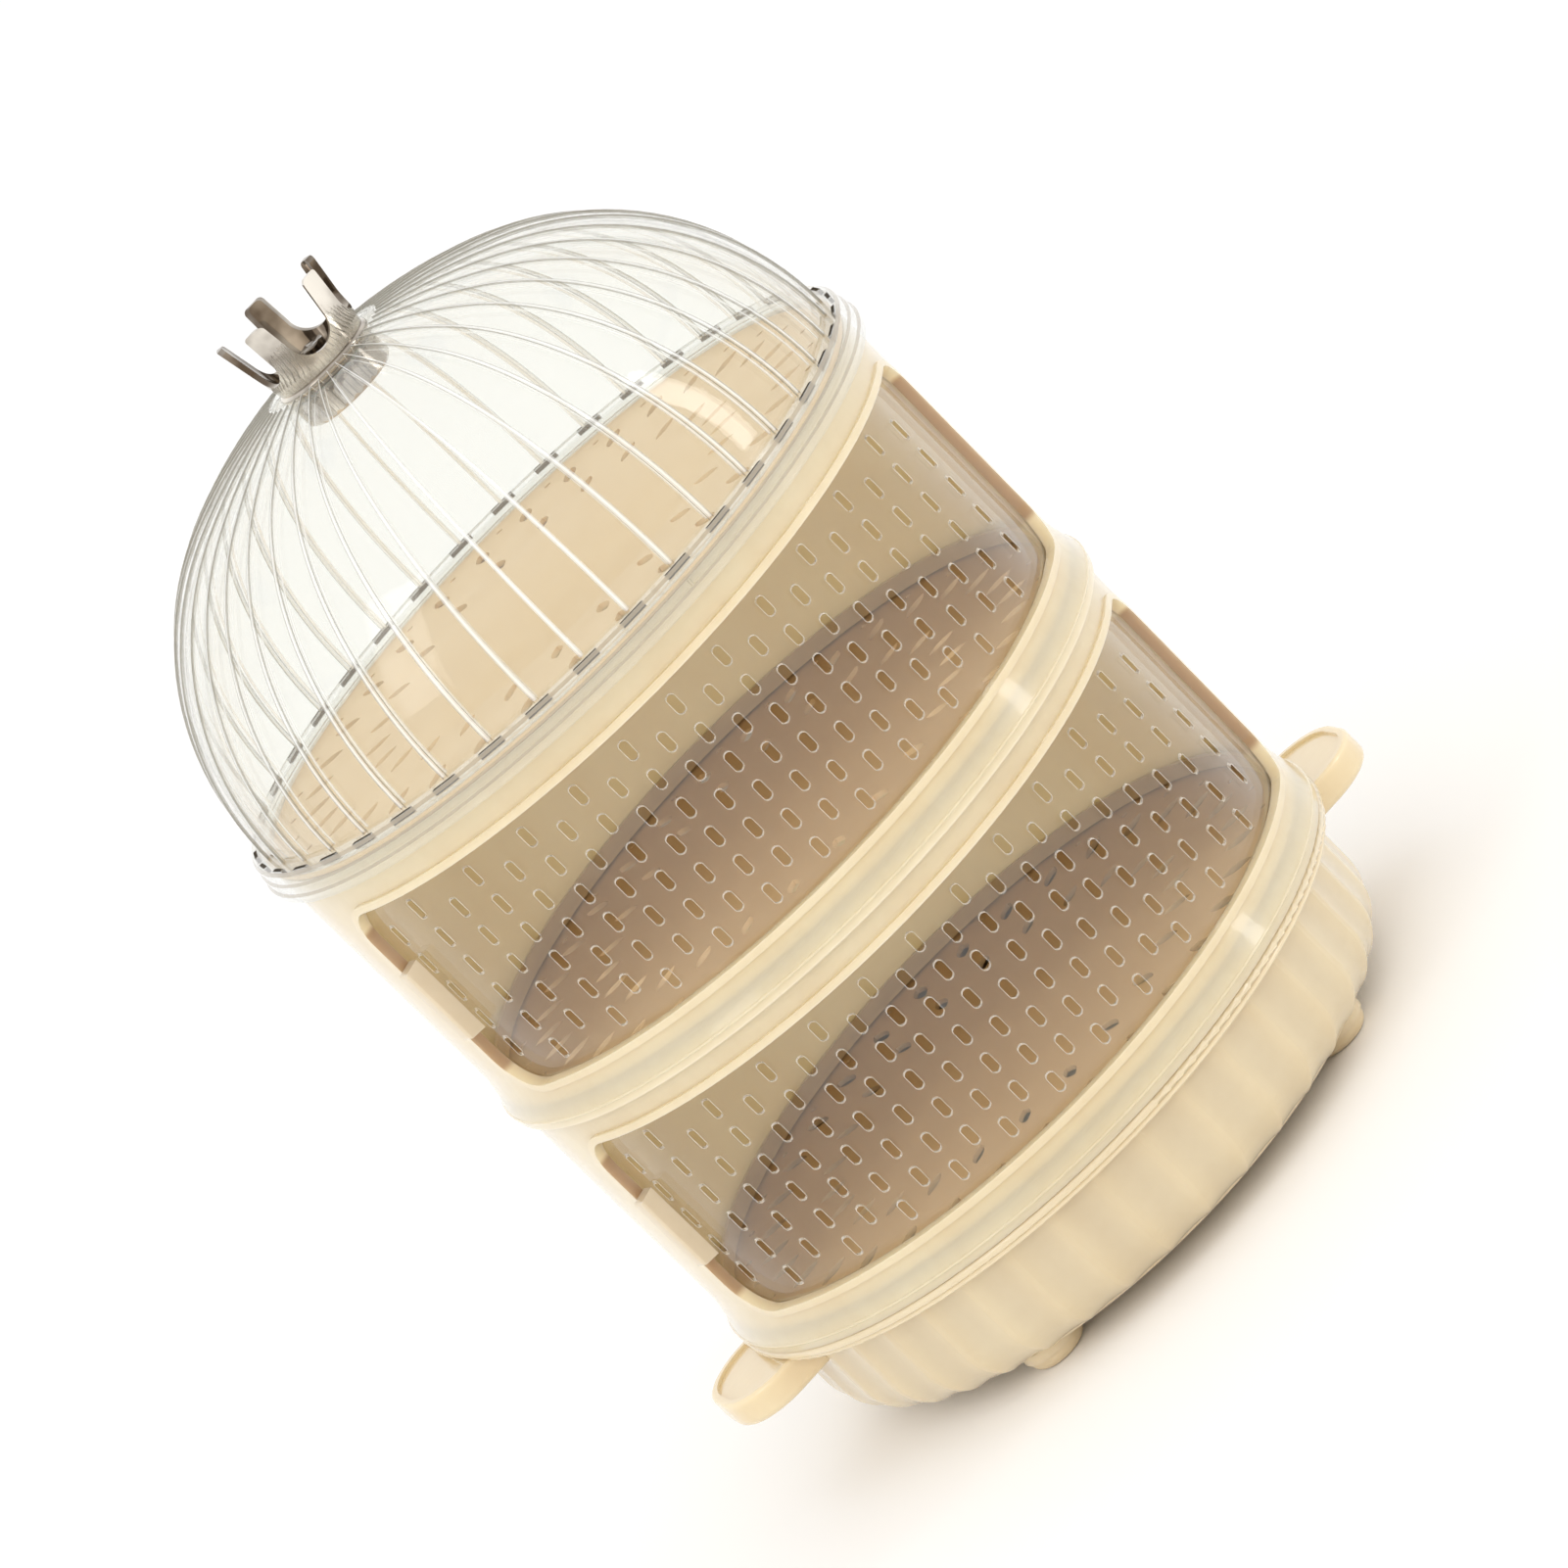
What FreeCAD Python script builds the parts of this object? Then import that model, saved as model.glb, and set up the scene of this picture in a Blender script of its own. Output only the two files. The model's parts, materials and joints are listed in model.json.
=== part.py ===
import FreeCAD, Part
import math
import os
import re
import Sketcher

# A stacking food keeper: a fluted base bowl on four feet, two round tiers with sliding clear
# doors, a perforated tray on each joint, and a ribbed clear dome with a crown-shaped knob.
# Origin: on the ground, in the middle of the feet.  +Z is up, the doors face -Y, and the two
# carrying tabs lie near X.  Millimetres and degrees.  Each piece is drawn about the joint that
# it stands on, and its Placement lifts it to its height in the stack.

SIZES = [
    # stack
    ("wall_radius", 146.0),          # outside of a tier wall
    ("wall_thickness", 3.0),
    ("tier_pitch", 122.9),           # from one stacking joint to the next
    ("base_turn", 3.0),              # how far the base stands turned against the tiers
    ("seat_height", 4.0),            # how far a wall top reaches up inside the piece above it
    ("lip_depth", 3.5),              # how far a skirt hangs down over the wall below it
    ("stack_clearance", 0.4),        # radial gap between a skirt and the wall inside it
    ("seat_gap", 0.2),               # gap between stacked faces
    ("skirt_gap", 0.3),              # gap between the lowest skirt and the seat ring
    ("moving_gap", 0.4),             # gap around a sliding door
    # tier shell
    ("belt_flare", 4.0),             # how far the skirt flares out from the wall
    ("belt_height", 20.0),           # height over which it flares
    ("bead_size", 0.6),              # rounded bead at the foot of the flare
    # window
    ("window_half_angle", 73.5),     # degrees either side of the front
    ("window_sill", 15.5),           # above the joint
    ("window_top_margin", 15.3),     # from the window's head to the next joint
    ("window_top_corner", 15.0),
    ("window_bottom_corner", 17.0),
    ("frame_width", 3.0),            # raised border round the window
    ("frame_height", 1.5),
    # door rails
    ("rail_width", 4.8),             # from the wall inwards
    ("rail_lip", 1.6),               # thickness of the lip behind the door
    ("rail_floor", 2.0),
    ("rail_depth", 4.5),             # how deep the door edge stands in the rail
    ("rail_below_sill", 8.5),        # underside of the bottom rail below the window's sill
    ("rail_above_head", 10.4),       # upper side of the top rail above the window's head
    # door
    ("door_thickness", 2.0),
    ("door_half_angle", 79.0),
    ("door_rest_turn", -4.5),        # the closed door sits a little towards the left jamb
    ("slot_width", 3.6),             # measured round the door
    ("slot_height", 9.4),
    ("slot_half_angle", 64.1),       # from the middle column to the outermost one
    ("slot_top_margin", 9.5),        # from the window's head to the top row's middle
    ("slot_bottom_margin", 9.1),     # from the sill to the bottom row's middle
    ("grip_width", 6.5),
    ("grip_height", 36.0),
    ("grip_reach", 7.4),             # how far the grip stands out from the door
    ("grip_taper", 1.0),             # how much shorter its outer edge is, at each end
    ("grip_rounding", 1.3),
    ("grip_inset_angle", 1.45),      # from the window's left jamb to the middle of the grip
    # trays
    ("tray_thickness", 2.0),
    ("tray_ring_depth", 3.6),        # locating ring under the tray
    ("tray_ring_thickness", 2.2),
    ("petal_inset", 27.0),           # from the wall's outside to the middle of the outer petals
    ("petal_length", 15.0),
    ("petal_width", 6.5),
    ("inner_petal_inset", 58.0),
    ("inner_petal_scale", 0.9),
    ("drain_inset", 14.5),
    ("drain_hole_radius", 1.5),
    # base
    ("bowl_inset", 6.8),             # crest of the fluted skirt inside the tier wall's outside
    ("bowl_thickness", 2.5),
    ("bowl_depth", 60.5),            # from the stacking joint to the underside
    ("bowl_straight_depth", 37.0),   # where the skirt starts to round in
    ("bowl_corner_radius", 22.0),
    ("bowl_slope_width", 17.2),      # sloping ring between the corner and the flat floor
    ("bowl_rim_width", 9.3),
    ("bowl_rim_thickness", 2.3),
    ("flute_depth", 1.1),
    ("flute_radius", 60.0),
    ("flute_margin", 1.2),           # plain skirt between the rim and the flutes
    ("flute_bend_angle", 80.0),      # how far the flutes follow the rounded corner
    ("ring_thickness", 3.2),         # flange of the seat ring
    ("ring_skirt_depth", 6.0),       # locating skirt inside the bowl
    ("ring_skirt_thickness", 2.0),
    ("ring_fit", 0.2),               # radial gap between that skirt and the bowl
    ("handle_length", 24.0),         # how far a carrying tab stands out past the belt
    ("handle_width", 58.0),
    ("handle_drop", 0.7),            # top of the tab below the top of the bowl's rim
    ("handle_height", 12.4),
    ("handle_corner", 24.0),
    ("handle_wall", 3.5),
    ("handle_rim_round", 1.5),
    ("handle_foot_round", 3.0),
    ("handle_dish_depth", 1.3),
    ("handle_root_depth", 1.75),     # how deep a tab is rooted in the bowl's wall
    # feet
    ("foot_inset", 29.2),            # middle of a foot inside the bowl's crest
    ("foot_radius", 12.5),
    ("foot_height", 5.8),
    ("foot_round", 4.6),
    ("foot_pad_height", 0.7),        # moulded pad between the bowl and the foot
    ("foot_pad_margin", 1.2),
    ("foot_boss_height", 0.8),       # the pad's boss above the floor inside
    ("foot_stem_radius", 3.0),
    ("foot_stem_length", 2.8),
    # dome
    ("dome_inset", 2.5),             # dome's foot inside the tier wall's outside
    ("dome_height", 116.0),          # from the ledge to the apex of its curve
    ("dome_side_share", 0.94),       # curvature of the dome's flank, as a share of its height
    ("dome_thickness", 2.2),
    ("recess_margin", 3.3),          # sunk land on top of the dome, beyond the crown's bead
    ("recess_edge", 1.5),
    ("recess_depth", 2.5),
    ("ledge_height", 11.0),          # top of the ledge above the joint
    ("ledge_thickness", 2.2),
    ("ledge_edge", 1.2),
    ("dome_seat_width", 1.9),        # foot ring outside the dome, which stands on the wall below
    ("flange_overhang", 1.5),        # flange outside the belt of the tier below
    ("flange_drop", 2.3),            # how far the flange hangs below the joint
    ("flange_thickness", 2.7),
    ("flange_bead", 0.5),
    ("flange_step", 0.9),
    ("flange_band", 5.2),            # height of the step in the middle of the flange
    ("mark_angle", 0.4),             # two short ribs on the flange that show its front
    ("mark_spread", 8.4),
    ("mark_height", 0.5),
    ("rib_height", 0.8),
    ("rib_angle", 0.8),              # width of a rib, in degrees round the axis
    ("rib_root", 0.6),               # how deep a rib is rooted in the dome
    ("vent_length", 11.0),
    ("vent_width", 1.5),
    ("vent_outset", 1.0),            # middle of the vents outside the tier wall's outside
    # crown knob and its fixing
    ("crown_base_radius", 20.2),
    ("crown_tip_radius", 25.4),
    ("crown_height", 31.2),
    ("crown_thickness", 2.5),
    ("crown_bead", 1.5),
    ("crown_floor", 3.0),
    ("crown_boss_radius", 6.0),
    ("crown_boss_height", 12.0),
    ("crown_turn", 4.0),
    ("scallop_floor", 8.5),          # lowest point between two prongs
    ("scallop_radius", 9.0),
    ("scallop_top_half_width", 11.0),
    ("washer_thickness", 1.0),
    ("washer_radius", 15.0),
    ("collar_radius", 20.0),
    ("collar_height", 10.0),
    ("collar_bevel", 1.5),
    ("collar_lobe_depth", 1.0),
    ("collar_lobe_offset", 0.6),     # centre of a groove outside the collar
    ("screw_radius", 3.0),
    ("screw_bite", 9.0),             # how far the screw enters the crown
    ("screw_head_radius", 5.5),
    ("screw_head_height", 3.2),
    ("screw_head_bevel", 0.8),
    ("screw_slot_width", 1.3),
    ("screw_slot_depth", 1.2),
    ("screw_clearance", 0.3),
    ("screw_end_gap", 0.5),
]

COUNTS = {"flutes": 40, "ribs": 40, "vents": 40, "petals": 32, "inner_petals": 24,
          "collar_lobes": 28, "prongs": 5, "marks": 2, "handles": 2}
SIDE_COLUMNS = 11                    # columns of slots either side of the door's middle one
SLOT_ROWS = 6
FOOT_NAMES = ("back_right_foot", "back_left_foot", "front_left_foot", "front_right_foot")
FOOT_FIRST_ANGLE = 45.0

# Shares: a rim's edge radius of its thickness, a slot's end radius of its width, a prong's tip
# radius of its wall, and the radius of a half-round arc of half its chord.  Each stays a little
# clear of the round number at which a flat vanishes or two arcs meet in a point.
RIM_SHARE = "0.45"
SLOT_END_SHARE = "0.52"
TIP_SHARE = "0.9"
HALF_ROUND = "1.001"

FAR = 400.0                          # longer than any cut needs
SPARE = "1"                          # how far a cutting shape runs past what it cuts
CLOSE = 1e-3                         # places nearer than this are the same place
LEAST_CHANGE = 1.0                   # a joined or cut body changes by more than this volume

doc = FreeCAD.newDocument("FoodKeeper")
sheet = doc.addObject("Spreadsheet::Sheet", "Sizes")
for row, (alias, number) in enumerate(SIZES, start=1):
    sheet.set(f"A{row}", alias)
    sheet.set(f"B{row}", str(number))
    sheet.setAlias(f"B{row}", alias)
doc.recompute()

# Places that follow from the sizes, as formulas of the sheet's names.
WALL_INSIDE = "(wall_radius - wall_thickness)"
SOCKET = "(wall_radius + stack_clearance)"
BELT = "(wall_radius + belt_flare)"
TRAY_BOTTOM = "(seat_height + seat_gap)"
TRAY_TOP = f"({TRAY_BOTTOM} + tray_thickness)"
SHOULDER = f"({TRAY_TOP} + seat_gap)"
WINDOW_HEAD = "(tier_pitch - window_top_margin)"
RAIL_FOOT = "(window_sill - rail_below_sill)"
RAIL_HEAD = f"({WINDOW_HEAD} + rail_above_head)"
RAIL_INSIDE = f"({WALL_INSIDE} - rail_width)"
RAIL_LIP_OUTSIDE = f"({RAIL_INSIDE} + rail_lip)"
DOOR_OUTSIDE = f"({WALL_INSIDE} - moving_gap)"
DOOR_INSIDE = f"({DOOR_OUTSIDE} - door_thickness)"
DOOR_BOTTOM = f"({RAIL_FOOT} + rail_floor + moving_gap)"
DOOR_TOP = f"({RAIL_HEAD} - rail_floor - moving_gap)"
ROW_PITCH = f"(({WINDOW_HEAD} - slot_top_margin - window_sill - slot_bottom_margin) / {SLOT_ROWS - 1})"
BOWL = "(wall_radius - bowl_inset)"
BOWL_RIM = f"({BOWL} + bowl_rim_width)"
RING_TOP = "(0 - lip_depth - skirt_gap)"
RING_BOTTOM = f"({RING_TOP} - ring_thickness)"
DOME = "(wall_radius - dome_inset)"
DOME_SIDE = "(dome_height * dome_side_share)"
RECESS = "(crown_base_radius + crown_bead + recess_margin)"
DOME_RIM = f"({RECESS} + recess_edge)"
FLANGE = f"({BELT} + flange_overhang)"
SCREW_HOLE = "(screw_radius + screw_clearance)"
BASE_HEIGHT = "(bowl_depth + foot_pad_height + foot_height)"
UPPER_JOINT = f"({BASE_HEIGHT} + tier_pitch)"
DOME_JOINT = f"({BASE_HEIGHT} + 2 * tier_pitch)"

pieces = []


def bound(text):
    """The formula as an expression that other objects can follow."""
    return re.sub(r"\b(?!pi\b)([a-z]\w*)\b(?!\()", r"Sizes.\1", text)


def value(text):
    """The formula's number now."""
    result = sheet.evalExpression(text)
    return float(getattr(result, "Value", result))


def origin_part(body, role):
    """One of a body's own planes or axes."""
    return next(feature for feature in body.Origin.OriginFeatures if feature.Role == role)


def new_body(name):
    """A body at the origin, whose own solid may be a tool for another body."""
    body = doc.addObject("PartDesign::Body", name)
    body.Label = name
    return body


def new_piece(name, height="0", turn=None):
    """A body named after its piece, lifted to its height in the stack."""
    body = new_body(name)
    upright = FreeCAD.Rotation(FreeCAD.Vector(0, 0, 1), 0.0)
    body.Placement = FreeCAD.Placement(FreeCAD.Vector(0, 0, 0), upright)
    body.setExpression("Placement.Base.z", bound(height))
    if turn:
        body.setExpression("Placement.Rotation.Angle", bound(turn))
    pieces.append(body)
    return body


def hold(sketch, geometry, point, axis, text):
    """Tie one coordinate of a sketch point to a formula."""
    number = value(text)
    if abs(number) < 1e-9:
        sketch.addConstraint(Sketcher.Constraint("PointOnObject", geometry, point, -2 if axis == "X" else -1))
        return
    ends = (-1, 1, geometry, point) if number > 0 else (geometry, point, -1, 1)
    index = sketch.addConstraint(Sketcher.Constraint("Distance" + axis, *ends, abs(number)))
    sketch.setExpression(f"Constraints[{index}]", bound(text if number > 0 else f"-({text})"))


def new_sketch(body, name, plane, offset):
    """An empty sketch on a plane of its body, or at an offset from it."""
    sketch = body.newObject("Sketcher::SketchObject", name)
    sketch.AttachmentSupport = [(origin_part(body, plane), "")]
    sketch.MapMode = "FlatFace"
    if offset != "0":
        sketch.setExpression("AttachmentOffset.Base.z", bound(offset))
    return sketch


def outline(body, name, plane, corners, offset="0"):
    """A closed sketch through corners (x, y); a third entry makes the edge that follows an arc of
    that radius, and a fourth says which side of the edge it bulges to (1 left, -1 right)."""
    sketch = new_sketch(body, name, plane, offset)
    points = [FreeCAD.Vector(value(corner[0]), value(corner[1]), 0) for corner in corners]
    for start, corner in enumerate(corners):
        first, second = points[start], points[(start + 1) % len(points)]
        if len(corner) == 2:
            sketch.addGeometry(Part.LineSegment(first, second))
            continue
        radius = value(corner[2])
        chord = second - first
        left = FreeCAD.Vector(-chord.y, chord.x, 0).normalize()
        sagitta = radius - math.sqrt(max(radius ** 2 - (chord.Length / 2) ** 2, 0.0))
        middle = (first + second) * 0.5 + left * (corner[3] * sagitta)
        ends = (first, second) if corner[3] < 0 else (second, first)
        sketch.addGeometry(Part.Arc(ends[0], middle, ends[1]))
    for start, corner in enumerate(corners):
        following = (start + 1) % len(corners)
        end = end_of(sketch, start, points[following])
        beginning = end_of(sketch, following, points[following])
        sketch.addConstraint(Sketcher.Constraint("Coincident", start, end, following, beginning))
        if len(corner) > 2:
            index = sketch.addConstraint(Sketcher.Constraint("Radius", start, value(corner[2])))
            sketch.setExpression(f"Constraints[{index}]", bound(corner[2]))
    for start, corner in enumerate(corners):
        point = end_of(sketch, start, points[start])
        hold(sketch, start, point, "X", corner[0])
        hold(sketch, start, point, "Y", corner[1])
    return sketch


def end_of(sketch, geometry, place):
    """Which end (1 or 2) of a sketch edge lies at a place: an arc is always kept anticlockwise."""
    edge = sketch.Geometry[geometry]
    return 1 if (edge.StartPoint - place).Length <= (edge.EndPoint - place).Length else 2


def circle(body, name, x, y, radius, offset="0"):
    """A sketch of one circle on the ground plane of its body."""
    sketch = new_sketch(body, name, "XY_Plane", offset)
    centre = FreeCAD.Vector(value(x), value(y), 0)
    sketch.addGeometry(Part.Circle(centre, FreeCAD.Vector(0, 0, 1), value(radius)))
    index = sketch.addConstraint(Sketcher.Constraint("Radius", 0, value(radius)))
    sketch.setExpression(f"Constraints[{index}]", bound(radius))
    hold(sketch, 0, 3, "X", x)
    hold(sketch, 0, 3, "Y", y)
    return sketch


def turned(body, name, corners, angle=None, kind="Revolution", plane="XZ_Plane"):
    """A solid of revolution (or a groove) about the upright axis, centred on its sketch plane."""
    feature = body.newObject("PartDesign::" + kind, name)
    feature.Profile = (outline(body, name + "_outline", plane, corners), [""])
    feature.ReferenceAxis = (feature.Profile[0], ["V_Axis"])
    feature.Angle = 360.0
    if angle:
        feature.Midplane = True
        feature.setExpression("Angle", bound(angle))
    doc.recompute()
    return feature


def cut(body, name, sketch, depth=None, upwards=False):
    """A pocket from its sketch, through everything unless a depth is given."""
    before = body.Shape.Volume
    pocket = body.newObject("PartDesign::Pocket", name)
    pocket.Profile = (sketch, [""])
    pocket.Reversed = upwards
    if depth:
        pocket.setExpression("Length", bound(depth))
    else:
        pocket.Length = FAR
    doc.recompute()
    if not body.Shape.Volume < before:
        raise RuntimeError(f"{name} cuts nothing")
    return pocket


def raised(body, name, sketch, length, downwards=False):
    """A pad from its sketch."""
    pad = body.newObject("PartDesign::Pad", name)
    pad.Profile = (sketch, [""])
    pad.Reversed = downwards
    pad.setExpression("Length", bound(length))
    doc.recompute()
    return pad


def repeated(body, name, features, count, angle="360"):
    """Features repeated evenly round the upright axis, or the whole solid if none are named."""
    pattern = body.newObject("PartDesign::PolarPattern", name)
    if features:
        pattern.Originals = features
    else:
        pattern.TransformMode = "Whole shape"
    pattern.Axis = (origin_part(body, "Z_Axis"), [""])
    pattern.setExpression("Angle", bound(angle))
    pattern.Occurrences = count
    body.Tip = pattern
    doc.recompute()
    return pattern


def combined(body, name, tool, kind):
    """The body with another body fused to it or cut from it."""
    before = body.Shape.Volume
    boolean = body.newObject("PartDesign::Boolean", name)
    boolean.Type = kind
    boolean.setObjects([tool])
    doc.recompute()
    if abs(body.Shape.Volume - before) < LEAST_CHANGE:
        raise RuntimeError(f"{name} changes nothing")
    return boolean


def rounded(body, name, radius, edges):
    """A fillet on the edges that a test picks."""
    base = body.Tip
    names = [f"Edge{i}" for i, edge in enumerate(base.Shape.Edges, start=1) if edges(edge)]
    if not names:
        raise RuntimeError(f"{name} finds no edge")
    fillet = body.newObject("PartDesign::Fillet", name)
    fillet.Base = (base, names)
    fillet.setExpression("Radius", bound(radius))
    body.Tip = fillet
    doc.recompute()
    return fillet


def ring_test(*rings):
    """Picks whole circles about the axis with a given radius and height."""
    wanted = [(value(radius), value(height)) for radius, height in rings]

    def test(edge):
        if not isinstance(edge.Curve, Part.Circle) or not edge.Closed:
            return False
        centre = edge.Curve.Center
        return any(abs(edge.Curve.Radius - radius) < CLOSE and abs(centre.z - height) < CLOSE
                   and math.hypot(centre.x, centre.y) < CLOSE for radius, height in wanted)
    return test


def radial_test(height):
    """Picks straight edges that point at the axis at a given height."""
    level = value(height)

    def test(edge):
        if not isinstance(edge.Curve, (Part.Line, Part.LineSegment)):
            return False
        first, second = edge.Vertexes[0].Point, edge.Vertexes[-1].Point
        flat = abs(first.z - level) < CLOSE and abs(second.z - level) < CLOSE
        return flat and abs(first.x * second.y - first.y * second.x) < 10 * CLOSE
    return test


def build_handles():
    """The bowl's two carrying tabs: rounded, dished on top and hollow underneath for fingertips."""
    body = new_body("handle_tabs")
    side = "(handle_width / 2)"
    reach = f"({BELT} + handle_length)"
    top = f"({RING_BOTTOM} - handle_drop)"
    bottom = f"({top} - handle_height)"
    root = f"(sqrt({BOWL} ^ 2 - {side} ^ 2) - bowl_thickness)"

    def plan(name, level, inset, inner):
        """The tab seen from above, drawn in by an inset, from an inner edge outwards."""
        edge = f"({side} - {inset})"
        tip = f"({reach} - {inset})"
        corner = f"(handle_corner - {inset})"
        return outline(body, name, "XY_Plane", [
            (inner, f"0 - {edge}"),
            (f"{tip} - {corner}", f"0 - {edge}", corner, -1),
            (tip, f"{corner} - {edge}"),
            (tip, f"{edge} - {corner}", corner, -1),
            (f"{tip} - {corner}", edge),
            (inner, edge),
        ], level)

    raised(body, "tab", plan("tab_outline", top, "0", root), "handle_height", True)
    root_number = value(root)

    def rim_at(level):
        """Picks the tab's edges at a level, apart from the one inside the bowl's wall."""
        def test(edge):
            box = edge.BoundBox
            flat = box.ZLength < CLOSE and abs(box.ZMin - value(level)) < CLOSE
            return flat and box.XMax > root_number + CLOSE
        return test
    rounded(body, "tab_rim", "handle_rim_round", rim_at(top))
    rounded(body, "tab_foot", "handle_foot_round", rim_at(bottom))
    cut(body, "dish", plan("dish_outline", top, "handle_wall", f"{BOWL_RIM} + ring_fit"), "handle_dish_depth")
    cut(body, "finger_hollow", plan("finger_outline", bottom, "handle_wall", f"{BOWL} + handle_wall"),
        "handle_height - handle_dish_depth - handle_wall", True)
    repeated(body, "tabs", [], COUNTS["handles"])
    middle_of_wall = f"({BOWL} - handle_root_depth)"
    turned(body, "tab_roots", [
        ("0", f"{bottom} - {SPARE}"),
        (middle_of_wall, f"{bottom} - {SPARE}"),
        (middle_of_wall, f"{top} + {SPARE}"),
        ("0", f"{top} + {SPARE}"),
    ], kind="Groove")
    return body


def build_base_bowl():
    """Fluted drip bowl: rolled rim, upright skirt, rounded corner and a shallow sloping floor."""
    body = new_piece("base_bowl", BASE_HEIGHT, "base_turn")
    rim_bottom = f"({RING_BOTTOM} - bowl_rim_thickness)"
    rim_round = f"(bowl_rim_thickness * {RIM_SHARE})"
    inside = f"({BOWL} - bowl_thickness)"
    corner = f"({BOWL} - bowl_corner_radius)"
    flat = f"({corner} - bowl_slope_width)"
    foot_of_corner = "(0 - bowl_straight_depth - bowl_corner_radius)"
    turned(body, "bowl_shell", [
        ("0", "0 - bowl_depth"),
        (flat, "0 - bowl_depth"),
        (corner, foot_of_corner, "bowl_corner_radius", -1),
        (BOWL, "0 - bowl_straight_depth"),
        (BOWL, rim_bottom),
        (f"{BOWL_RIM} - {rim_round}", rim_bottom, rim_round, -1),
        (BOWL_RIM, f"{rim_bottom} + {rim_round}"),
        (BOWL_RIM, f"{RING_BOTTOM} - {rim_round}", rim_round, -1),
        (f"{BOWL_RIM} - {rim_round}", RING_BOTTOM),
        (inside, RING_BOTTOM),
        (inside, "0 - bowl_straight_depth", "bowl_corner_radius - bowl_thickness", 1),
        (corner, f"{foot_of_corner} + bowl_thickness"),
        (flat, "bowl_thickness - bowl_depth"),
        ("0", "bowl_thickness - bowl_depth"),
    ])
    bite = f"(flute_depth + {SPARE})"
    flute_half = f"sqrt(2 * flute_radius * {bite} - {bite} ^ 2)"

    def flute_outline(name, level):
        """The slice that a flute takes from the skirt, seen from above."""
        return outline(body, name, "XY_Plane", [
            (f"{BOWL} + {SPARE}", flute_half, "flute_radius", -1),
            (f"{BOWL} + {SPARE}", f"0 - {flute_half}"),
        ], level)
    flute_top = f"({rim_bottom} - flute_margin)"
    flute_length = f"bowl_straight_depth + {flute_top}"
    flute = cut(body, "flute", flute_outline("flute_outline", flute_top), flute_length)
    bend = body.newObject("PartDesign::Groove", "flute_bend")
    bend_outline = flute_outline("flute_bend_outline", "0 - bowl_straight_depth")
    hinge_ends = [FreeCAD.Vector(value(corner), y, 0) for y in (-value(flute_half), value(flute_half))]
    hinge = bend_outline.addGeometry(Part.LineSegment(*hinge_ends), True)
    for point, across in ((1, f"0 - {flute_half}"), (2, flute_half)):
        hold(bend_outline, hinge, point, "X", corner)
        hold(bend_outline, hinge, point, "Y", across)
    bend.Profile = (bend_outline, [""])
    bend.ReferenceAxis = (bend_outline, ["Axis0"])
    bend.setExpression("Angle", bound("flute_bend_angle"))
    before = body.Shape.Volume
    doc.recompute()
    if not body.Shape.Volume < before:
        raise RuntimeError("flute_bend cuts nothing")
    repeated(body, "flutes", [flute, bend], COUNTS["flutes"])
    place = (f"({BOWL} - foot_inset) * cos({FOOT_FIRST_ANGLE})",
             f"({BOWL} - foot_inset) * sin({FOOT_FIRST_ANGLE})")
    pad_level = "0 - bowl_depth - foot_pad_height"
    pad_circle = circle(body, "foot_pad_circle", *place, "foot_radius + foot_pad_margin", pad_level)
    pad = raised(body, "foot_pad", pad_circle, "foot_pad_height + bowl_thickness + foot_boss_height")
    repeated(body, "foot_pads", [pad], len(FOOT_NAMES))
    stem_circle = circle(body, "stem_circle", *place, "foot_stem_radius", pad_level)
    hole = cut(body, "stem_hole", stem_circle, "foot_stem_length + seat_gap", True)
    repeated(body, "stem_holes", [hole], len(FOOT_NAMES))
    combined(body, "handles", build_handles(), "Fuse")


def build_feet():
    """Four push-in feet: a bun-shaped pad with a stem that presses into the bowl."""
    for index, name in enumerate(FOOT_NAMES):
        body = new_piece(name)
        turned(body, "foot", [
            ("0", "0"),
            ("foot_radius - foot_round", "0", "foot_round", -1),
            ("foot_radius", "foot_round"),
            ("foot_radius", "foot_height"),
            ("foot_stem_radius", "foot_height"),
            ("foot_stem_radius", "foot_height + foot_stem_length"),
            ("0", "foot_height + foot_stem_length"),
        ])
        angle = f"({FOOT_FIRST_ANGLE + 90.0 * index} + base_turn)"
        body.setExpression("Placement.Base.x", bound(f"({BOWL} - foot_inset) * cos({angle})"))
        body.setExpression("Placement.Base.y", bound(f"({BOWL} - foot_inset) * sin({angle})"))


def build_seat_ring():
    """Ring that closes the bowl: a locating skirt below and the wall that the stack stands on."""
    body = new_piece("seat_ring", BASE_HEIGHT, "base_turn")
    skirt_out = f"({BOWL} - bowl_thickness - ring_fit)"
    skirt_in = f"({skirt_out} - ring_skirt_thickness)"
    edge = f"(ring_thickness * {RIM_SHARE})"
    turned(body, "ring", [
        (skirt_in, f"{RING_BOTTOM} - ring_skirt_depth"),
        (skirt_out, f"{RING_BOTTOM} - ring_skirt_depth"),
        (skirt_out, RING_BOTTOM),
        (f"{BELT} - {edge}", RING_BOTTOM, edge, -1),
        (BELT, f"{RING_BOTTOM} + {edge}"),
        (BELT, f"{RING_TOP} - {edge}", edge, -1),
        (f"{BELT} - {edge}", RING_TOP),
        ("wall_radius", RING_TOP),
        ("wall_radius", "seat_height"),
        (WALL_INSIDE, "seat_height"),
        (WALL_INSIDE, RING_TOP),
        (skirt_in, RING_TOP),
    ])


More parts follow.
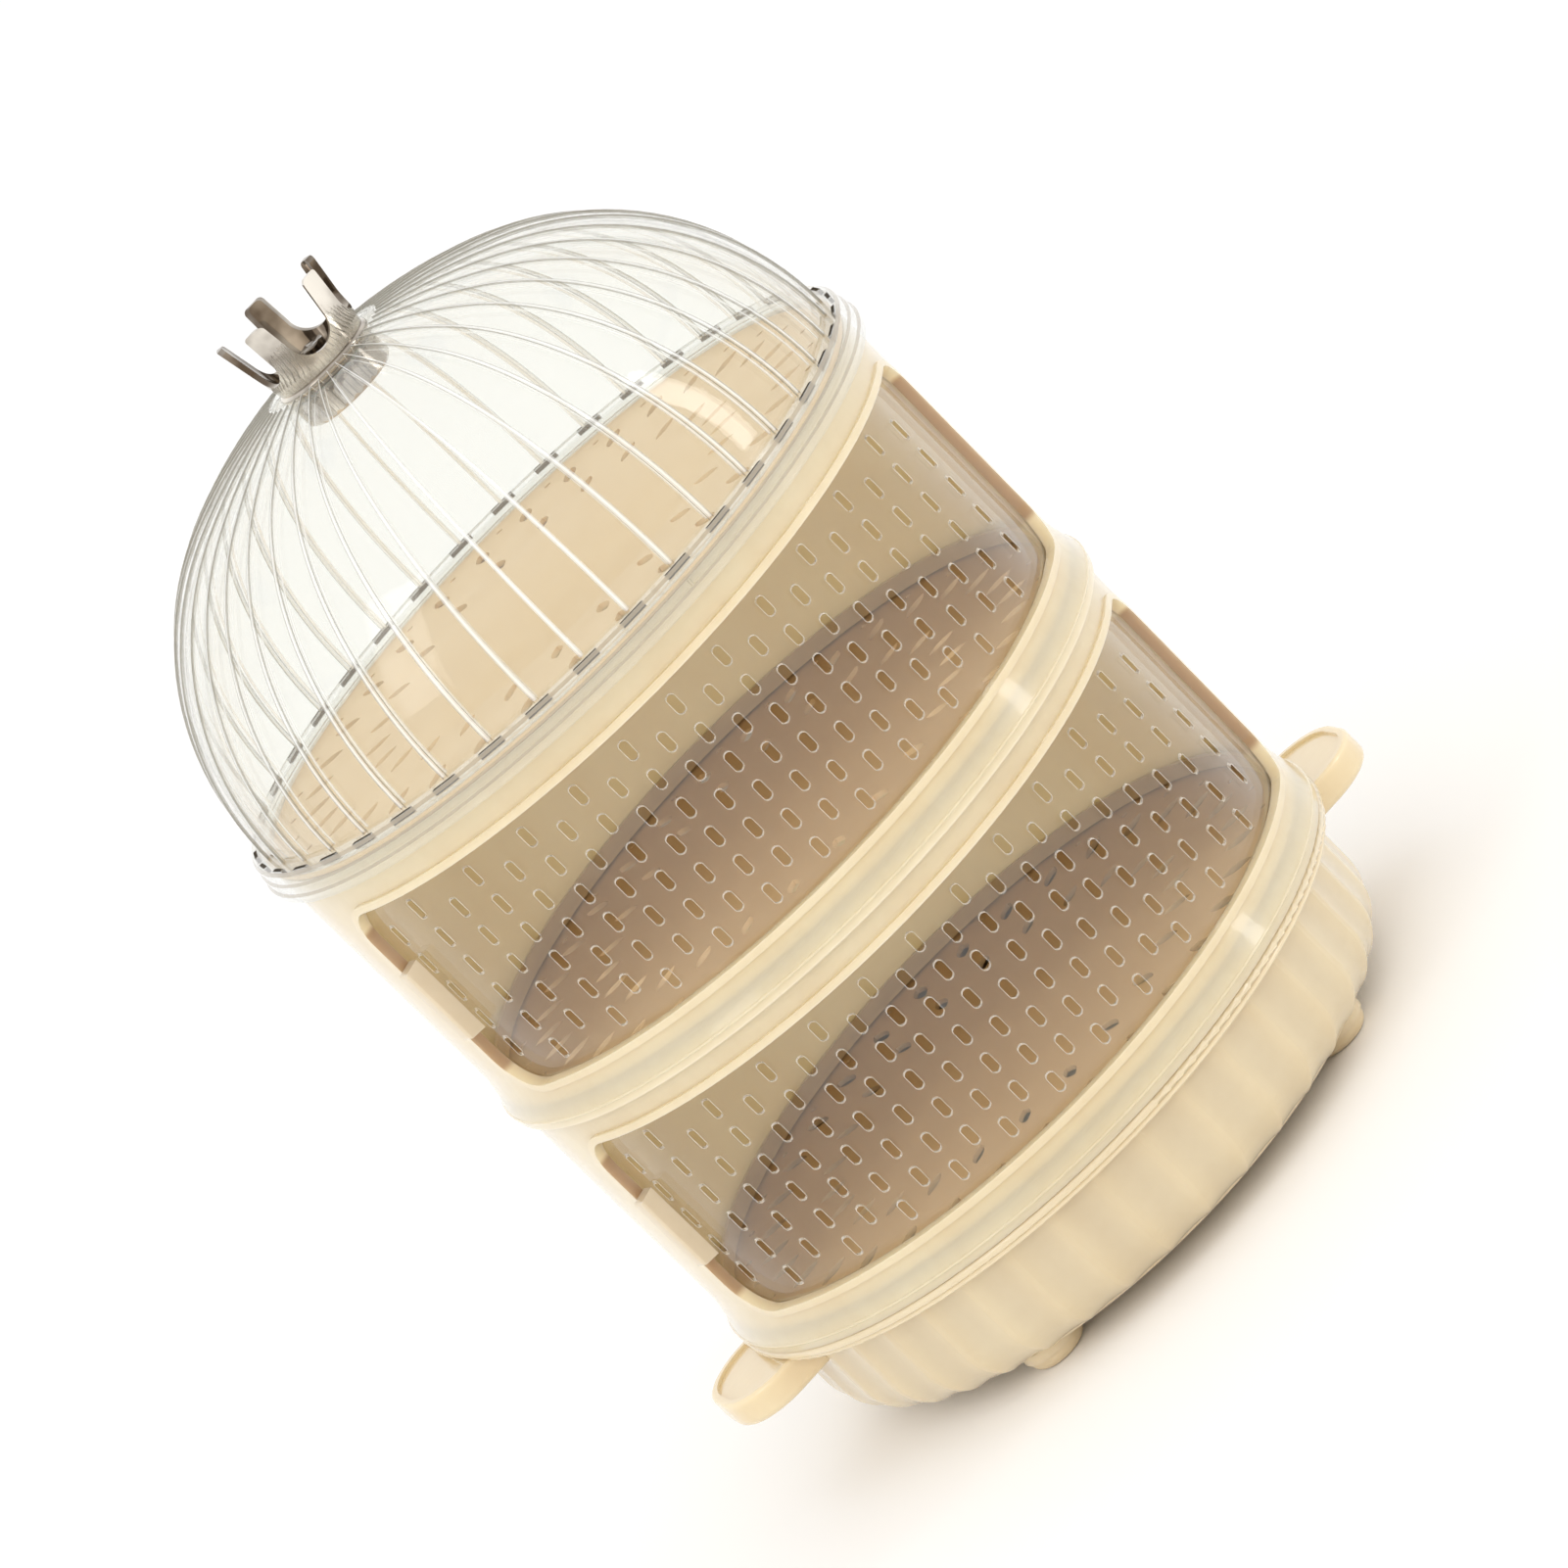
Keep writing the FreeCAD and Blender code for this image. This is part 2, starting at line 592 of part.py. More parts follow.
def build_tray(name, height):
    """Perforated tray: a flat disc that sits on the wall top, with a ring that centres it."""
    body = new_piece(name, height)
    ring_out = f"({WALL_INSIDE} - stack_clearance)"
    ring_in = f"({ring_out} - tray_ring_thickness)"
    turned(body, "disc", [
        ("0", TRAY_BOTTOM),
        (ring_in, TRAY_BOTTOM),
        (ring_in, f"{TRAY_BOTTOM} - tray_ring_depth"),
        (ring_out, f"{TRAY_BOTTOM} - tray_ring_depth"),
        (ring_out, TRAY_BOTTOM),
        ("wall_radius - stack_clearance", TRAY_BOTTOM),
        ("wall_radius - stack_clearance", TRAY_TOP),
        ("0", TRAY_TOP),
    ])
    for ring, inset, scale in (("petal", "petal_inset", "1"),
                               ("inner_petal", "inner_petal_inset", "inner_petal_scale")):
        middle = f"(wall_radius - {inset})"
        half = f"(petal_length * {scale} / 2)"
        wide = f"(petal_width * {scale} / 2)"
        bow = f"(({half} * {half} + {wide} * {wide}) / (2 * {wide}))"
        petal = cut(body, ring, outline(body, ring + "_outline", "XY_Plane", [
            (f"{middle} - {half}", "0", bow, -1),
            (f"{middle} + {half}", "0", bow, -1),
        ]), None, True)
        repeated(body, ring + "s", [petal], COUNTS[ring + "s"])
    between = 180.0 / COUNTS["petals"]
    place = "(wall_radius - drain_inset)"
    drain_circle = circle(body, "drain_circle", f"{place} * cos({between})", f"{place} * sin({between})",
                          "drain_hole_radius")
    hole = cut(body, "drain", drain_circle, None, True)
    repeated(body, "drains", [hole], COUNTS["petals"])


def build_tier_shell(name, height):
    """Round wall with a flared skirt, a bead at the joint and a wide window at the front."""
    body = new_piece(name, height)
    lip = f"({BELT} - bead_size)"
    out = "(belt_flare - bead_size)"
    rise = "(belt_height - bead_size)"
    flare_radius = f"(({out} * {out} + {rise} * {rise}) / (2 * {out}))"
    wall_top = "(tier_pitch + seat_height)"
    reach = "(wall_radius + frame_height)"
    middle = "(wall_radius - wall_thickness / 2)"
    border_angle = "2 * (window_half_angle + frame_width / wall_radius * 180 / pi)"
    turned(body, "window_border", [
        (f"0 - {middle}", "window_sill - frame_width"),
        (f"0 - {reach}", "window_sill - frame_width"),
        (f"0 - {reach}", f"{WINDOW_HEAD} + frame_width"),
        (f"0 - {middle}", f"{WINDOW_HEAD} + frame_width"),
    ], border_angle, plane="YZ_Plane")
    border_foot = radial_test("window_sill - frame_width")
    border_head = radial_test(f"{WINDOW_HEAD} + frame_width")
    rounded(body, "border_bottom", "window_bottom_corner + frame_width", border_foot)
    rounded(body, "border_top", "window_top_corner + frame_width", border_head)
    turned(body, "wall", [
        (SOCKET, "0 - lip_depth"),
        (lip, "0 - lip_depth"),
        (lip, "0 - bead_size", f"bead_size * {HALF_ROUND}", -1),
        (lip, "bead_size", flare_radius, 1),
        ("wall_radius", "belt_height"),
        ("wall_radius", wall_top),
        (WALL_INSIDE, wall_top),
        (WALL_INSIDE, SHOULDER),
        (SOCKET, SHOULDER),
    ])
    opening = new_body(name + "_opening")
    near = f"({WALL_INSIDE} - wall_thickness)"
    far = f"({reach} + wall_thickness)"
    turned(opening, "window", [
        (f"0 - {near}", "window_sill"),
        (f"0 - {far}", "window_sill"),
        (f"0 - {far}", WINDOW_HEAD),
        (f"0 - {near}", WINDOW_HEAD),
    ], "2 * window_half_angle", plane="YZ_Plane")
    rounded(opening, "window_bottom", "window_bottom_corner", radial_test("window_sill"))
    rounded(opening, "window_top", "window_top_corner", radial_test(WINDOW_HEAD))
    combined(body, "window_cut", opening, "Cut")


def build_rail(name, height, top):
    """Door rail inside the wall: a floor and a lip that stands behind the door's edge."""
    body = new_piece(name, height)
    if top:
        outer, inner, tip = RAIL_HEAD, f"{RAIL_HEAD} - rail_floor", f"{RAIL_HEAD} - rail_floor - rail_depth"
    else:
        outer, inner, tip = RAIL_FOOT, f"{RAIL_FOOT} + rail_floor", f"{RAIL_FOOT} + rail_floor + rail_depth"
    turned(body, "rail", [
        (RAIL_INSIDE, outer),
        (WALL_INSIDE, outer),
        (WALL_INSIDE, inner),
        (RAIL_LIP_OUTSIDE, inner),
        (RAIL_LIP_OUTSIDE, tip),
        (RAIL_INSIDE, tip),
    ])


def slot_outline(body, name, column, row):
    """One upright slot with round ends, drawn straight from the front and as wide as it looks there."""
    across = f"({DOOR_OUTSIDE} * sin(slot_half_angle) * {column / SIDE_COLUMNS})"
    wide = f"(slot_width * sqrt(1 - ({across} / {DOOR_OUTSIDE}) ^ 2))"
    half = f"({wide} / 2)"
    arch = f"({wide} * {SLOT_END_SHARE})"
    straight = f"((slot_height - {wide}) / 2)"
    middle = f"({WINDOW_HEAD} - slot_top_margin - {row} * {ROW_PITCH})"
    return outline(body, name, "XZ_Plane", [
        (f"{across} - {half}", f"{middle} - {straight}", arch, -1),
        (f"{across} + {half}", f"{middle} - {straight}"),
        (f"{across} + {half}", f"{middle} + {straight}", arch, -1),
        (f"{across} - {half}", f"{middle} + {straight}"),
    ])


def build_door(name, height):
    """Clear sliding door: a curved sheet with staggered ventilation slots pressed straight through."""
    body = new_piece(name, height, "door_rest_turn")
    turned(body, "sheet", [
        (f"0 - {DOOR_INSIDE}", DOOR_BOTTOM),
        (f"0 - {DOOR_OUTSIDE}", DOOR_BOTTOM),
        (f"0 - {DOOR_OUTSIDE}", DOOR_TOP),
        (f"0 - {DOOR_INSIDE}", DOOR_TOP),
    ], "2 * door_half_angle", plane="YZ_Plane")
    for column in range(SIDE_COLUMNS + 1):
        short = (SIDE_COLUMNS - column) % 2 == 0
        first_row, rows = (0.5, SLOT_ROWS - 1) if short else (0.0, SLOT_ROWS)
        label = f"column_{column}"
        slot = cut(body, label, slot_outline(body, label + "_outline", column, first_row), None, True)
        grid = body.newObject("PartDesign::MultiTransform", label + "_slots")
        grid.Originals = [slot]
        down = body.newObject("PartDesign::LinearPattern", label + "_rows")
        down.Direction = (slot.Profile[0], ["V_Axis"])
        down.Reversed = True
        down.setExpression("Length", bound(f"{rows - 1} * {ROW_PITCH}"))
        down.Occurrences = rows
        steps = [down]
        if column:
            other_side = body.newObject("PartDesign::Mirrored", label + "_other_side")
            other_side.MirrorPlane = (origin_part(body, "YZ_Plane"), [""])
            steps.append(other_side)
        grid.Transformations = steps
        body.Tip = grid
        doc.recompute()


def build_grip(name, height):
    """Upright finger grip on the outside of the door, next to the window's left jamb."""
    body = new_piece(name, height)
    middle = f"((window_sill + {WINDOW_HEAD}) / 2)"
    angle = "(grip_width / wall_radius * 180 / pi)"
    turned(body, "fin", [
        (f"0 - {DOOR_OUTSIDE}", f"{middle} - grip_height / 2"),
        (f"0 - {DOOR_OUTSIDE} - grip_reach", f"{middle} - grip_height / 2 + grip_taper"),
        (f"0 - {DOOR_OUTSIDE} - grip_reach", f"{middle} + grip_height / 2 - grip_taper"),
        (f"0 - {DOOR_OUTSIDE}", f"{middle} + grip_height / 2"),
    ], angle, plane="YZ_Plane")
    front = value(f"{DOOR_OUTSIDE} + grip_reach")

    def outer_edges(edge):
        return all(abs(math.hypot(v.X, v.Y) - front) < 10 * CLOSE for v in edge.Vertexes)
    rounded(body, "fin_rounding", "grip_rounding", outer_edges)
    body.setExpression("Placement.Rotation.Angle", bound("grip_inset_angle - window_half_angle"))


def dome_arcs(offset, top_radius, outwards):
    """Two tangent arcs from the dome's foot to its top, offset outwards: corners for an outline."""
    radius = f"({DOME} + {offset})"
    height = f"(dome_height + {offset})"
    side = f"({DOME_SIDE} + {offset})"
    crown = f"((({radius} - {side}) ^ 2 + {height} ^ 2 - {side} ^ 2) / (2 * ({height} - {side})))"
    lean = f"({radius} - {side}) / ({crown} - {side})"
    rise = f"({crown} - {height}) / ({crown} - {side})"
    meeting = (f"({radius} - {side} + {side} * {lean})", f"(ledge_height + {side} * {rise})")
    top = (top_radius, f"(ledge_height + {height} - {crown} + sqrt({crown} ^ 2 - ({top_radius}) ^ 2))")
    if outwards:
        return [(radius, "ledge_height", side, -1), meeting + (crown, -1), top]
    return [top + (crown, 1), meeting + (side, 1), (radius, "ledge_height")]


def recess_floor():
    """Height of the sunk land on top of the dome, above the dome's joint."""
    return f"({dome_arcs('0', DOME_RIM, True)[-1][1]} - recess_depth)"


def build_dome():
    """Clear ribbed dome with a deep flange that drops over the top tray and the tier below."""
    body = new_piece("dome_lid", DOME_JOINT)
    flange_inside = f"({FLANGE} - flange_thickness)"
    seat_out = f"({DOME} + dome_seat_width)"
    under = "(ledge_height - ledge_thickness)"
    land = recess_floor()
    band = f"({FLANGE} - flange_step)"
    shoulder = f"({FLANGE} - 2 * flange_step)"
    turned(body, "shell", dome_arcs("0", DOME_RIM, True) + [
        (RECESS, land),
        (SCREW_HOLE, land),
        (SCREW_HOLE, f"{land} - dome_thickness"),
        (f"{RECESS} + dome_thickness", f"{land} - dome_thickness"),
    ] + dome_arcs("(0 - dome_thickness)", f"{DOME_RIM} + dome_thickness", False) + [
        (f"{DOME} - dome_thickness", SHOULDER),
        (seat_out, SHOULDER),
        (seat_out, under),
        (flange_inside, under),
        (flange_inside, "0 - flange_drop"),
        (f"{FLANGE} - flange_bead", "0 - flange_drop"),
        (FLANGE, "flange_bead"),
        (FLANGE, "2 * flange_bead"),
        (band, "2 * flange_bead + flange_step"),
        (band, "flange_band"),
        (shoulder, "flange_band + flange_step"),
        (shoulder, "ledge_height - ledge_edge"),
        (f"{shoulder} - ledge_edge", "ledge_height"),
    ])
    rib_top = f"{DOME_RIM} + rib_height"
    rib_outline = dome_arcs("rib_height", rib_top, True) + dome_arcs("(0 - rib_root)", rib_top, False)
    rib = turned(body, "rib", rib_outline, "rib_angle")
    repeated(body, "ribs", [rib], COUNTS["ribs"])
    mark = turned(body, "mark", [
        (f"0 - {band} + mark_height", "flange_bead + flange_step"),
        (f"0 - {band} - mark_height", "2 * flange_bead + flange_step"),
        (f"0 - {band} - mark_height", "flange_band - mark_height"),
        (f"0 - {band} + mark_height", "flange_band"),
    ], "mark_angle", plane="YZ_Plane")
    repeated(body, "marks", [mark], COUNTS["marks"], "mark_spread")
    half = "(vent_length / 2)"
    near = "(wall_radius + vent_outset - vent_width / 2)"
    far = "(wall_radius + vent_outset + vent_width / 2)"
    vent_outline = outline(body, "vent_outline", "XY_Plane", [
        (near, f"0 - {half}"),
        (far, f"0 - {half}"),
        (far, half),
        (near, half),
    ], f"ledge_height + {SPARE}")
    vent = cut(body, "vent", vent_outline, f"ledge_thickness + 2 * {SPARE}")
    repeated(body, "vents", [vent], COUNTS["vents"])


def build_crown():
    """Crown knob: a flared cup cut into five prongs, with a boss that takes the screw."""
    body = new_piece("crown_knob", f"{DOME_JOINT} + {recess_floor()}", "crown_turn")
    lean = "((crown_tip_radius - crown_base_radius) / crown_height)"
    bead_top = "(2 * crown_bead)"
    floor_edge = f"(crown_base_radius + {lean} * crown_floor - crown_thickness)"
    turned(body, "cup", [
        ("screw_radius", "0"),
        ("crown_base_radius", "0"),
        ("crown_base_radius", bead_top),
        ("crown_tip_radius", "crown_height"),
        ("crown_tip_radius - crown_thickness", "crown_height"),
        (floor_edge, "crown_floor"),
        ("crown_boss_radius", "crown_floor"),
        ("crown_boss_radius", "crown_boss_height"),
        ("0", "crown_boss_height"),
        ("0", "screw_bite + screw_end_gap"),
        ("screw_radius", "screw_bite + screw_end_gap"),
    ])
    turned(body, "bead", [
        ("crown_base_radius - crown_thickness / 2", "0"),
        ("crown_base_radius", "0", f"crown_bead * {HALF_ROUND}", -1),
        ("crown_base_radius", bead_top),
        ("crown_base_radius - crown_thickness / 2", bead_top),
    ])
    wide = "scallop_top_half_width"
    scallop = cut(body, "scallop", outline(body, "scallop_outline", "XZ_Plane", [
        ("0 - scallop_radius", "scallop_floor + scallop_radius", f"scallop_radius * {HALF_ROUND}", -1),
        ("scallop_radius", "scallop_floor + scallop_radius"),
        (wide, f"crown_height + {SPARE}"),
        (f"0 - {wide}", f"crown_height + {SPARE}"),
    ]), None, True)
    repeated(body, "scallops", [scallop], COUNTS["prongs"])
    tip_top = value("crown_height")

    def tips(edge):
        middle = edge.valueAt((edge.FirstParameter + edge.LastParameter) / 2)
        level = edge.BoundBox.ZLength < CLOSE and abs(middle.z - tip_top) < CLOSE
        return level and not isinstance(edge.Curve, Part.Circle)
    rounded(body, "tip_rounding", f"crown_thickness * {TIP_SHARE}", tips)


def build_knob_fixing():
    """Below the dome's top: a soft washer, a lobed collar and the screw that holds the crown."""
    land = recess_floor()
    dome_under = f"({DOME_JOINT} + {land} - dome_thickness)"
    collar_top = f"({dome_under} - washer_thickness)"
    washer = new_piece("knob_washer", collar_top)
    turned(washer, "disc", [
        (SCREW_HOLE, "0"),
        ("washer_radius", "0"),
        ("washer_radius", "washer_thickness"),
        (SCREW_HOLE, "washer_thickness"),
    ])
    collar = new_piece("knob_collar", f"{collar_top} - collar_height")
    head_seat = "(screw_head_height + screw_end_gap)"
    turned(collar, "disc", [
        (SCREW_HOLE, head_seat),
        ("screw_head_radius + screw_clearance", head_seat),
        ("screw_head_radius + screw_clearance", "0"),
        ("collar_radius - collar_bevel", "0"),
        ("collar_radius", "collar_bevel"),
        ("collar_radius", "collar_height - collar_bevel"),
        ("collar_radius - collar_bevel", "collar_height"),
        (SCREW_HOLE, "collar_height"),
    ])
    groove_circle = circle(collar, "groove_circle", "collar_radius + collar_lobe_offset", "0",
                           "collar_lobe_depth + collar_lobe_offset")
    groove = cut(collar, "groove", groove_circle, None, True)
    repeated(collar, "grooves", [groove], COUNTS["collar_lobes"])
    head_top = f"({collar_top} - collar_height + {head_seat})"
    screw = new_piece("knob_screw", head_top)
    reach = f"({DOME_JOINT} + {land} + screw_bite - {head_top})"
    turned(screw, "screw", [
        ("0", "0 - screw_head_height"),
        ("screw_head_radius - screw_head_bevel", "0 - screw_head_height"),
        ("screw_head_radius", "screw_head_bevel - screw_head_height"),
        ("screw_head_radius", "0"),
        ("screw_radius", "0"),
        ("screw_radius", reach),
        ("0", reach),
    ])
    slot_half = "(screw_slot_width / 2)"
    cut(screw, "driver_slot", outline(screw, "driver_slot_outline", "XY_Plane", [
        (f"0 - {slot_half}", "0 - screw_head_radius"),
        (slot_half, "0 - screw_head_radius"),
        (slot_half, "screw_head_radius"),
        (f"0 - {slot_half}", "screw_head_radius"),
    ], "0 - screw_head_height"), "screw_slot_depth", True)


for builder in (build_base_bowl, build_feet, build_seat_ring, build_dome, build_crown, build_knob_fixing):
    builder()
for place, level in (("lower", BASE_HEIGHT), ("upper", UPPER_JOINT)):
    build_tier_shell(place + "_tier_shell", level)
    build_rail(place + "_bottom_rail", level, False)
    build_rail(place + "_top_rail", level, True)
    build_door(place + "_door", level)
    build_grip(place + "_door_grip", level)
for place, level in (("lower", BASE_HEIGHT), ("middle", UPPER_JOINT), ("top", DOME_JOINT)):
    build_tray(place + "_tray", level)

doc.recompute()
for item in doc.Objects:
    if "Invalid" in item.State or "Error" in item.State:
        raise RuntimeError(f"{item.Label}: {item.State}")
os.makedirs("parts", exist_ok=True)
for body in pieces:
    shape = body.Shape
    if shape.isNull() or not shape.isValid():
        raise RuntimeError(f"{body.Label} has no valid shape")
    print(body.Label, len(shape.Solids), round(shape.Volume / 1000, 2), shape.BoundBox)
    shape.exportStep(f"parts/{body.Label}.step")
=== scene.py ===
# %% [markdown]
# # A tiered food cover
# The object is a round, stacking food keeper: a fluted bowl on four feet, two cream tiers with
# clear sliding doors, three perforated trays and a ribbed clear dome with a crown for a knob.
# Its shapes, sizes and joints come from a packed CAD model, loaded here as a fixed frame.
# Every shape is already fine enough to look at, so all that follows is finish, light and camera.

# %% Load the frame
import json
import math

import bpy
from mathutils import Matrix, Vector


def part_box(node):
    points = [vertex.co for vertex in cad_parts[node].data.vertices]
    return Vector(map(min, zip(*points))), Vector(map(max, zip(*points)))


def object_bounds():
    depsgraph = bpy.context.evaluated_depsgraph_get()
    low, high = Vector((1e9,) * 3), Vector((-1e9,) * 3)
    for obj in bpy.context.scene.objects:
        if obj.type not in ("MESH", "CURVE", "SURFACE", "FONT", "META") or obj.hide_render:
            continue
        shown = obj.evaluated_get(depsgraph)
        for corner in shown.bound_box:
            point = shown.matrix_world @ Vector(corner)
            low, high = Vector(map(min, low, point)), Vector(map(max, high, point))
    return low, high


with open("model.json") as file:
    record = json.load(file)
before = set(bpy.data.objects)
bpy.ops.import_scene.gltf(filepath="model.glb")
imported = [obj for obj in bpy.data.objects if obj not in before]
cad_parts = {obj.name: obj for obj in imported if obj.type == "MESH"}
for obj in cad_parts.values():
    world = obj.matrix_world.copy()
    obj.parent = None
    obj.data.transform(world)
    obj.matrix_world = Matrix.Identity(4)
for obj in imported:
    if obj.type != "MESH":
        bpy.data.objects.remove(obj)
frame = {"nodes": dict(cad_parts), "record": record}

first_low, first_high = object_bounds()
tall = first_high[2] - first_low[2]
print("loaded", len(frame["nodes"]), "nodes,", round(tall, 3), "m tall")

# %% [markdown]
# ## Writing finishes as sums
# A finish is a network of shader nodes. Wiring it by hand hides the idea, so one small class
# wraps an output socket and turns `+ - * /` into Math nodes. Each operator has a reflected form
# too, so that `1.0 - mask` works as well as `mask * 2.0`.

# %% A value that can be added and multiplied
class Flow:
    """A value that varies over a surface: arithmetic on it adds Math nodes to its network."""

    def __init__(self, network, socket):
        self.network = network
        self.socket = socket

    def maths(self, operation, *values):
        settings = {"operation": operation}
        return self.network.make("ShaderNodeMath", settings, dict(enumerate(values))).out()

    def __add__(self, other):
        return self.maths("ADD", self, other)

    def __sub__(self, other):
        return self.maths("SUBTRACT", self, other)

    def __rsub__(self, other):
        return self.maths("SUBTRACT", other, self)

    def __mul__(self, other):
        return self.maths("MULTIPLY", self, other)

    def __truediv__(self, other):
        return self.maths("DIVIDE", self, other)

    def __rtruediv__(self, other):
        return self.maths("DIVIDE", other, self)

    __radd__ = __add__
    __rmul__ = __mul__

    def power(self, exponent):
        return self.maths("POWER", self, exponent)

    def size(self):
        return self.maths("ABSOLUTE", self)

    def fraction(self):
        return self.maths("FRACT", self)

    def larger(self, other):
        return self.maths("MAXIMUM", self, other)

    def angle_with(self, other):
        """The angle of the point (other, self) round the axis, in radians."""
        return self.maths("ARCTAN2", self, other)

    def clamped(self):
        return self.maths("MINIMUM", self.maths("MAXIMUM", self, 0.0), 1.0)

    def band(self, low, high):
        """0 below low, 1 above high and a smooth step between."""
        settings = {"interpolation_type": "SMOOTHSTEP"}
        inputs = {"Value": self, "From Min": low, "From Max": high}
        return self.network.make("ShaderNodeMapRange", settings, inputs).out("Result")


print("sums ready:", ", ".join(sorted(name for name in vars(Flow) if "_" not in name)))

# %% [markdown]
# ## One method for every node
# Blender has hundreds of node types, but each is made the same way: pick the type, change its
# settings, then fill or link its inputs. Settings come first because some of them change which
# inputs exist. Materials and the room's background are both such networks, so they share this.

# %% A network that makes its own nodes
class Made:
    """A node just made: its outputs come back as Flow values."""

    def __init__(self, network, node):
        self.network = network
        self.node = node

    def out(self, name=0):
        return Flow(self.network, self.node.outputs[name])


class Network:
    """A node tree, with one method that makes any node in it."""

    def __init__(self, tree):
        self.tree = tree

    def make(self, kind, settings=None, inputs=None):
        node = self.tree.nodes.new(kind)
        for key, value in (settings or {}).items():
            setattr(node, key, value)
        for key, value in (inputs or {}).items():
            self.join(node.inputs[key], value)
        return Made(self, node)

    def join(self, socket, value):
        """Link a Flow to a socket, or set the socket to a plain number or colour."""
        if isinstance(value, Flow):
            self.tree.links.new(value.socket, socket)
        elif socket.type == "RGBA":
            socket.default_value = (*value, 1.0)
        else:
            socket.default_value = value

    def blend(self, factor, first, second):
        """A colour between two colours: the Mix node keeps its colour sockets at 6, 7 and 2."""
        inputs = {0: factor, 6: first, 7: second}
        return self.make("ShaderNodeMix", {"data_type": "RGBA"}, inputs).out(2)

    def dot(self, first, second):
        """How far two directions agree, from -1 to 1."""
        settings = {"operation": "DOT_PRODUCT"}
        return self.make("ShaderNodeVectorMath", settings, {0: first, 1: second}).out("Value")


print("networks ready")

# %% [markdown]
# ## A material and its patterns
# Each material starts from one Principled shader. Its patterns are noises laid on the object's
# own coordinates, in metres. Painted images would need every piece unwrapped, and these don't.

# %% A material
class Paint(Network):
    """One material with a Principled shader, whose plain numbers are given by name."""

    def __init__(self, name, **constants):
        self.material = bpy.data.materials.new(name)
        self.material.use_nodes = True
        super().__init__(self.material.node_tree)
        self.shader = self.tree.nodes["Principled BSDF"]
        for socket, value in constants.items():
            self.set(socket.replace("_", " "), value)

    def set(self, socket, value):
        self.join(self.shader.inputs[socket], value)

    def place(self):
        """Where a point is on the object, in metres."""
        return self.make("ShaderNodeTexCoord").out("Object")

    def facing(self):
        """The direction a face looks in, in the object's own axes."""
        return self.make("ShaderNodeTexCoord").out("Normal")

    def parts(self, vector):
        """The x, y and z of a vector."""
        split = self.make("ShaderNodeSeparateXYZ", None, {"Vector": vector})
        return split.out("X"), split.out("Y"), split.out("Z")

    def noise(self, scale, detail=2.0, where=None):
        inputs = {"Vector": where or self.place(), "Scale": scale, "Detail": detail}
        return self.make("ShaderNodeTexNoise", None, inputs).out("Fac")

    def up_the_stack(self, stretch):
        """Coordinates squeezed along Z, which draws a noise out into upright streaks."""
        inputs = {"Vector": self.place(), "Scale": (1.0, 1.0, stretch)}
        return self.make("ShaderNodeMapping", None, inputs).out()

    def bump(self, height, strength, distance, under=None):
        """Fine relief, on top of a coarser relief if one is given."""
        inputs = {"Height": height, "Strength": strength, "Distance": distance}
        if under is not None:
            inputs["Normal"] = under
        return self.make("ShaderNodeBump", None, inputs).out("Normal")

    def upright_facing(self):
        """How squarely a face looks in or out from the axis, and how squarely up or down."""
        x, y, _ = self.parts(self.place())
        face_x, face_y, face_z = self.parts(self.facing())
        outward = ((x * face_x + y * face_y) / (x * x + y * y).power(0.5)).size()
        return outward, face_z.size()

    def mixed(self, factor, first, second):
        """One shader turning into another."""
        return self.make("ShaderNodeMixShader", None, {0: factor, 1: first, 2: second}).out()

    def finish(self, surface):
        """Show this surface in place of the plain Principled shader."""
        self.join(self.tree.nodes["Material Output"].inputs["Surface"], surface)
        return self.material


def shade(colour, amount):
    """A colour made lighter or darker by a factor, never past white."""
    return tuple(min(1.0, tone * amount) for tone in colour)


print("materials ready")

# %% [markdown]
# ## Cream moulded plastic
# The bowl, ring, tiers and trays are moulded in one warm cream resin with a wet-looking gloss.
# A real moulding is never one flat colour: the resin flows unevenly, its skin has a faint orange
# peel, and its walls sink a little as they cool, which bends the reflections. Along the beads and
# rims, where hands and other pieces rub, the skin is glossier, and a lighter colour is painted
# there as a highlight. A thin wall also glows when light soaks through it, which Subsurface does at
# little cost.
# The jambs of a window are painted dark brown, as the shade that falls in them.

# %% The scale of each pattern
DRIFT_SCALE = 9.0                # slow change of shade as the resin flows
MOTTLE_SCALE = 170.0             # fine cloudiness
STREAK_SCALE = 60.0              # flow lines, eight times as long as they are wide
STREAK_STRETCH = 0.12
SINK_SCALE = 13.0                # shallow hollows left as the wall cooled
PEEL_SCALE = 430.0               # orange peel
RIM_WIDTH = 0.0035               # how far the polish and painted highlight of a rim reach, up or down
RIM_CORE = RIM_WIDTH * 0.35      # and how far it is at its full strength
SOAK_DEPTH = 0.014               # how far light spreads inside the resin
SOAK_COLOURS = (1.0, 0.95, 0.86)     # red spreads furthest, blue least
print("one streak is about", round(1000.0 / STREAK_SCALE, 1), "mm wide")


# %% Cream plastic
def rim_polish_and_highlight(paint, heights):
    """1 at each height, fading to 0 one RIM_WIDTH above or below it."""
    _, _, height = paint.parts(paint.place())
    polish_and_highlight = 0.0
    for rim in heights:
        away = (height - rim).size()
        polish_and_highlight = (1.0 - away.band(RIM_CORE, RIM_WIDTH)).larger(polish_and_highlight)
    return polish_and_highlight


